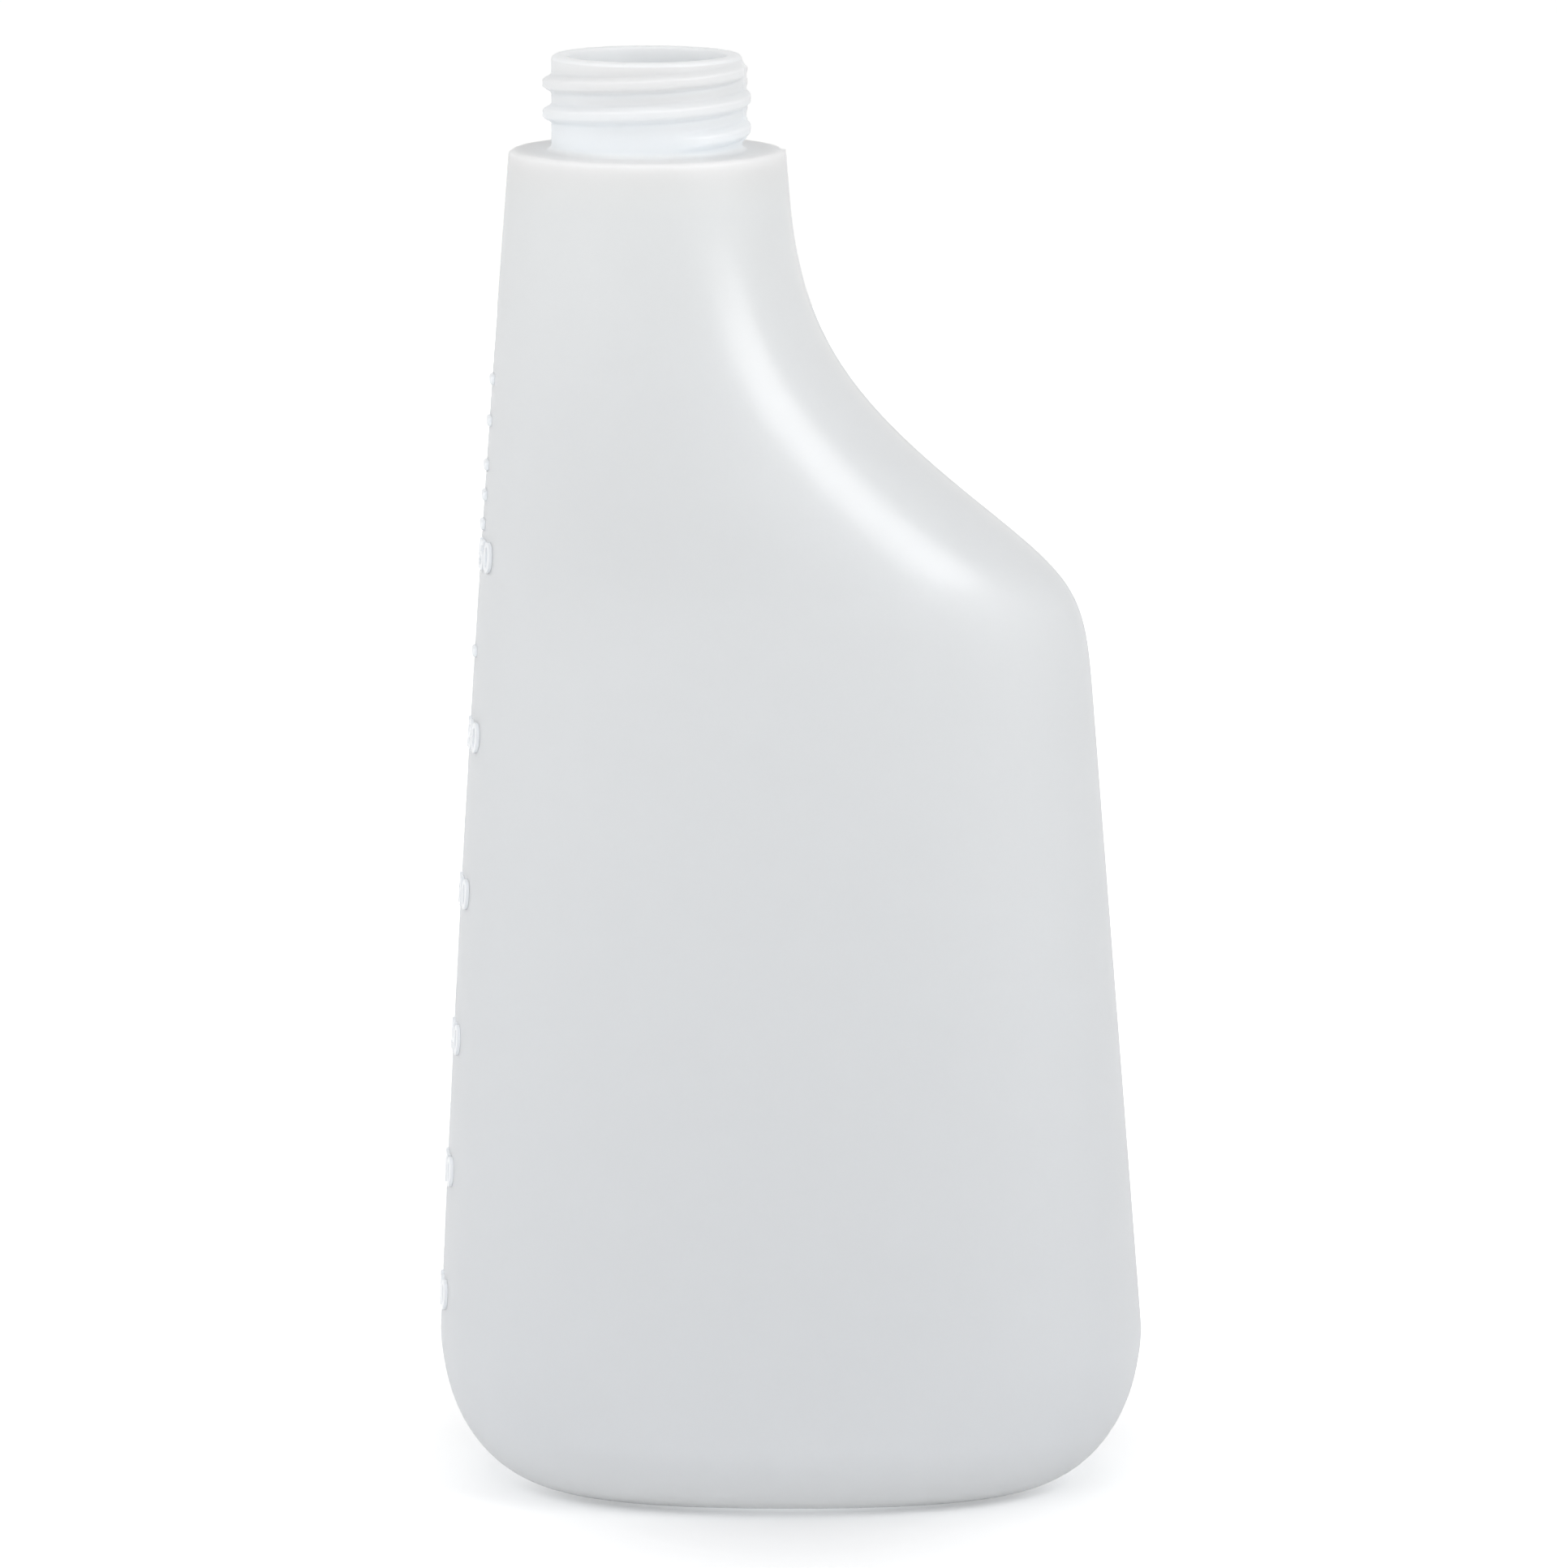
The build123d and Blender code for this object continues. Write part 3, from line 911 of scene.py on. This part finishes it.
class BOTTLE_OT_scale(bpy.types.Operator):
    """Make the raised numbers and short marks of the scale on the straight narrow side"""

    bl_idname = "bottle.scale"
    bl_label = "Raised Scale"
    bl_options = {"REGISTER", "UNDO"}

    def execute(self, context):
        body = context.scene.bottle_body
        marks = context.scene.bottle_scale
        bm = bmesh.new()
        for words, height in zip(marks.numbers.split(), marks.number_heights):
            self.number(bm, context, body, marks, words, height)
        for height in marks.tick_heights:
            self.tick(bm, body, marks, height)
        bmesh.ops.remove_doubles(bm, verts=bm.verts, dist=MERGE_DISTANCE)
        bmesh.ops.recalc_face_normals(bm, faces=bm.faces)
        piece = made_object("raised_scale", bm, MARK_SMOOTH_ANGLE)
        piece.data.materials.append(raised_plastic(context.scene.bottle_finish))
        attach(piece, BODY)
        return {"FINISHED"}

    def number(self, bm, context, body, marks, words, height):
        """One number, made flat as text and then laid on the side."""
        text = bpy.data.curves.new("scale_number", "FONT")
        text.body = words
        text.extrude = FIGURE_DEPTH
        text.bevel_depth = FIGURE_BEVEL
        text.bevel_resolution = 1
        text.resolution_u = FIGURE_STEPS
        carrier = bpy.data.objects.new("scale_number", text)
        context.scene.collection.objects.link(carrier)
        graph = context.evaluated_depsgraph_get()
        flat = bpy.data.meshes.new_from_object(carrier.evaluated_get(graph))
        known = set(bm.verts)
        bm.from_mesh(flat)
        verts = [vert for vert in bm.verts if vert not in known]
        bpy.data.objects.remove(carrier)
        bpy.data.curves.remove(text)
        bpy.data.meshes.remove(flat)
        low = [min(vert.co[axis] for vert in verts) for axis in range(3)]
        high = [max(vert.co[axis] for vert in verts) for axis in range(3)]
        wrap = SideWrap(body, height)
        for vert in verts:
            across, up, out = [
                (vert.co[axis] - low[axis]) / (high[axis] - low[axis]) for axis in range(3)
            ]
            vert.co = wrap.place(
                marks.number_start + across * marks.number_width,
                height + (up - 0.5) * marks.number_height,
                out * (marks.proud + marks.sunk) - marks.sunk,
            )

    def tick(self, bm, body, marks, height):
        """One short rounded mark."""
        made = bmesh.ops.create_cube(bm, size=1)["verts"]
        rounded = Vector((marks.tick_length, marks.tick_height, marks.tick_proud + marks.sunk))
        bmesh.ops.scale(bm, vec=rounded, verts=made)
        edges = list({edge for vert in made for edge in vert.link_edges})
        known = set(bm.verts) - set(made)
        bmesh.ops.bevel(
            bm,
            geom=edges,
            offset=marks.tick_round,
            affect="EDGES",
            segments=4,
            profile=0.5,
            material=-1,
        )
        wrap = SideWrap(body, height)
        for vert in bm.verts:
            if vert not in known:
                along, up, out = vert.co
                vert.co = wrap.place(
                    along + marks.tick_length / 2,
                    height + up,
                    out + (marks.tick_proud - marks.sunk) / 2,
                )


def seen_directly(tree):
    """1 for what is seen, also in gloss or through glass, and 0 for what only gives light."""
    rays = add(tree, "ShaderNodeLightPath", {}).outputs
    seen = worked_out(tree, "MAXIMUM", rays["Is Camera Ray"], rays["Is Glossy Ray"])
    return worked_out(tree, "MAXIMUM", seen, rays["Is Transmission Ray"])


class BOTTLE_OT_stage(bpy.types.Operator):
    """Set the floor, the light and the camera"""

    bl_idname = "bottle.stage"
    bl_label = "Studio Stage"
    bl_options = {"REGISTER", "UNDO"}

    def execute(self, context):
        stage = context.scene.bottle_stage
        self.floor(stage, context.scene.bottle_body)
        self.surround(context, stage)
        for name, box in SOFT_BOXES.items():
            self.soft_box(context, f"{name}_box", getattr(stage, f"{name}_power"), *box)
        self.camera(context, stage)
        context.scene.view_settings.view_transform = "Standard"
        return {"FINISHED"}

    def oval_reach(self, tree, stretch):
        """Distance from the middle of the floor, with the way across stretched."""
        ways = {0: object_place(tree), 1: (stretch, 1, 1)}
        stretched = add(tree, "ShaderNodeVectorMath", ways, operation="MULTIPLY").outputs["Vector"]
        reach = add(tree, "ShaderNodeVectorMath", {0: stretched}, operation="LENGTH")
        return reach.outputs["Value"]

    def floor(self, stage, body):
        """A plain pale floor that the camera sees as white, with the bottle's shadow on it and a
        painted glow under the foot.
        """
        bm = bmesh.new()
        bmesh.ops.create_grid(bm, x_segments=1, y_segments=1, size=stage.floor_size / 2)
        floor = made_object("floor", bm)
        material, tree = node_material("pale_floor")
        tree.nodes.clear()
        shadow = self.oval_reach(tree, stage.shadow_stretch)
        spread = mapped(tree, shadow, stage.near_reach, stage.far_reach, 0, stage.far_lift)
        ring_across = body.width / 2 - body.side_corner_reach
        ring_front = body.depth / 2 - body.face_corner_reach
        ring_end = ring_front + stage.under_foot_glow_reach
        ring = self.oval_reach(tree, ring_front / ring_across)
        # Painted glow: the floor under the foot gives off light for every ray, lighting the
        # bottle's shaded underside
        through = mapped(tree, ring, ring_front, ring_end, stage.under_foot_glow, 0, "SMOOTHSTEP")
        lift = worked_out(tree, "MULTIPLY_ADD", seen_directly(tree), spread, through)
        paint = add(tree, "ShaderNodeBsdfDiffuse", {"Color": (*stage.floor_tint, 1)})
        glow = add(tree, "ShaderNodeEmission", {"Strength": lift})
        layers = {0: paint.outputs["BSDF"], 1: glow.outputs["Emission"]}
        both = add(tree, "ShaderNodeAddShader", layers)
        add(tree, "ShaderNodeOutputMaterial", {"Surface": both.outputs["Shader"]})
        floor.data.materials.append(material)

    def surround(self, context, stage):
        """A white surround that lights the bottle evenly."""
        world = bpy.data.worlds.new("white_surround")
        world.use_nodes = True
        tree = world.node_tree
        strength = mixed(tree, seen_directly(tree), stage.sky_strength, 1.0)
        fill(tree, tree.nodes["Background"], {"Color": (1, 1, 1, 1), "Strength": strength})
        context.scene.world = world

    def soft_box(self, context, name, power, size, azimuth, elevation, mirrored):
        """One soft box that looks at the bottle's middle."""
        target = Vector((0, 0, (LOWEST[2] + HIGHEST[2]) / 2))
        turn, climb = math.radians(azimuth), math.radians(elevation)
        level = math.cos(climb)
        way = Vector((math.sin(turn) * level, -math.cos(turn) * level, math.sin(climb)))
        lamp = bpy.data.lights.new(name, "AREA")
        lamp.shape = "RECTANGLE"
        lamp.size, lamp.size_y = size
        lamp.energy = power
        box = bpy.data.objects.new(name, lamp)
        box.location = target + way * BOX_DISTANCE
        box.rotation_euler = (-way).to_track_quat("-Z", "Y").to_euler()
        box.visible_glossy = mirrored
        context.scene.collection.objects.link(box)

    def camera(self, context, stage):
        """The camera at the photograph's viewing angle."""
        lens = bpy.data.cameras.new("camera")
        lens.lens = stage.camera_lens
        lens.sensor_width = SENSOR_WIDTH
        camera = bpy.data.objects.new("camera", lens)
        camera.location = stage.camera_place
        way = Vector(stage.camera_target) - Vector(stage.camera_place)
        camera.rotation_euler = way.to_track_quat("-Z", "Y").to_euler()
        context.scene.collection.objects.link(camera)
        context.scene.camera = camera


class BOTTLE_PT_panel(bpy.types.Panel):
    """Sidebar panel with the bottle's pieces and their sizes"""

    bl_label = "Spray Bottle"
    bl_idname = "BOTTLE_PT_panel"
    bl_space_type = "VIEW_3D"
    bl_region_type = "UI"
    bl_category = "Bottle"

    def draw(self, context):
        layout = self.layout
        for operator, groups in PANEL_ROWS:
            layout.operator(operator.bl_idname)
            for group in groups:
                column = layout.column(align=True)
                settings = getattr(context.scene, group)
                for name in settings.__annotations__:
                    column.prop(settings, name)


PANEL_ROWS = (
    (BOTTLE_OT_shell, ("bottle_body", "bottle_neck", "bottle_finish")),
    (BOTTLE_OT_scale, ("bottle_scale",)),
    (BOTTLE_OT_stage, ("bottle_stage",)),
)
SETTINGS = {
    "bottle_body": BottleBodySizes,
    "bottle_neck": BottleNeckSizes,
    "bottle_scale": BottleScaleSizes,
    "bottle_finish": BottleFinish,
    "bottle_stage": BottleStageSettings,
}
CLASSES = (*SETTINGS.values(), BOTTLE_OT_shell, BOTTLE_OT_scale, BOTTLE_OT_stage, BOTTLE_PT_panel)


def register():
    for item in CLASSES:
        bpy.utils.register_class(item)
    for name, group in SETTINGS.items():
        setattr(bpy.types.Scene, name, PointerProperty(type=group))


def unregister():
    for name in SETTINGS:
        delattr(bpy.types.Scene, name)
    for item in reversed(CLASSES):
        bpy.utils.unregister_class(item)


def main():
    register()
    bpy.ops.bottle.shell()
    bpy.ops.bottle.scale()
    bpy.ops.bottle.stage()


if __name__ == "__main__":
    main()
